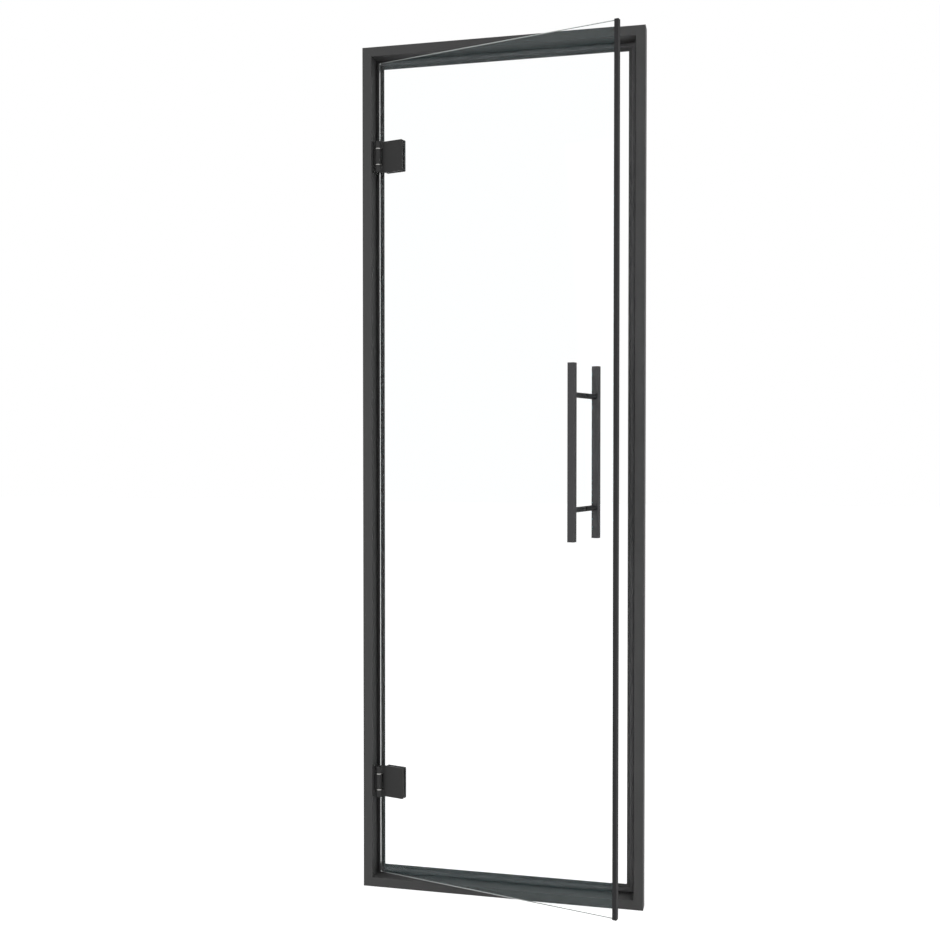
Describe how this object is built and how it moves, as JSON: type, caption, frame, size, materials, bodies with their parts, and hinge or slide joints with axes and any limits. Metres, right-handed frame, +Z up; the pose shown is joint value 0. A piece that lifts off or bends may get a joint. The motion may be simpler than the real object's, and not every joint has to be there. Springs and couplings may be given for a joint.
{
  "type": "steam room door",
  "caption": "Glass leaf with a black closing profile and two bar pull handles, hung on barrel hinges in a slim black four-sided metal frame.",
  "frame": {"origin": "middle of the flat underside of the sill: half of the frame's width, half of the depth of its outer side face", "axes": "+X to the right seen from the front, +Z up, the front of the door faces -Y; the leaf is hinged on the left (-X) and opens towards -Y"},
  "size_m": [0.7, 0.2441, 2.1],
  "materials": {
    "frame_coating": "matt black powder coat on aluminium",
    "seal_rubber": "dark grey rubber seal",
    "clear_glass": "clear toughened glass, 8 mm",
    "edge_profile_coating": "matt black powder coat on aluminium",
    "hinge_coating": "matt black coated steel",
    "washer_steel": "bare steel ring",
    "handle_coating": "satin black coated bar",
    "cleat_aluminium": "bare mill finish",
    "gasket_rubber": "thin dark grey gasket",
    "pin_steel": "bare steel"
  },
  "bodies": {
    "frame": {"hinge_jamb": "frame_coating", "latch_jamb": "frame_coating", "head": "frame_coating", "sill": "frame_coating", "seal_hinge_side": "seal_rubber", "seal_latch_side": "seal_rubber", "seal_head": "seal_rubber", "seal_sill": "seal_rubber", "cleat_hinge_bottom": "cleat_aluminium", "cleat_hinge_top": "cleat_aluminium", "cleat_latch_bottom": "cleat_aluminium", "cleat_latch_top": "cleat_aluminium", "upper_hinge_frame_plate": "hinge_coating", "upper_hinge_washer_top": "washer_steel", "upper_hinge_washer_bottom": "washer_steel", "lower_hinge_frame_plate": "hinge_coating", "lower_hinge_washer_top": "washer_steel", "lower_hinge_washer_bottom": "washer_steel"},
    "leaf": {"glass_leaf": "clear_glass", "closing_edge_profile": "edge_profile_coating", "edge_profile_cap_top": "edge_profile_coating", "edge_profile_cap_bottom": "edge_profile_coating", "handle_bar_outer": "handle_coating", "handle_bar_inner": "handle_coating", "standoff_outer_upper": "handle_coating", "standoff_inner_upper": "handle_coating", "handle_stud_upper": "pin_steel", "upper_hinge_clamp_front": "hinge_coating", "upper_hinge_clamp_back": "hinge_coating", "upper_hinge_gasket_front": "gasket_rubber", "upper_hinge_gasket_back": "gasket_rubber", "upper_hinge_pin": "pin_steel", "standoff_outer_lower": "handle_coating", "standoff_inner_lower": "handle_coating", "handle_stud_lower": "pin_steel", "lower_hinge_clamp_front": "hinge_coating", "lower_hinge_clamp_back": "hinge_coating", "lower_hinge_gasket_front": "gasket_rubber", "lower_hinge_gasket_back": "gasket_rubber", "lower_hinge_pin": "pin_steel"}
  },
  "joints": [
    {"name": "leaf_hinge", "type": "hinge", "parent": "frame", "child": "leaf", "pos_m": [-0.3124, -0.0071, 1.05], "axis": [0, 0, -1], "range_deg": [-15, 90]}
  ]
}
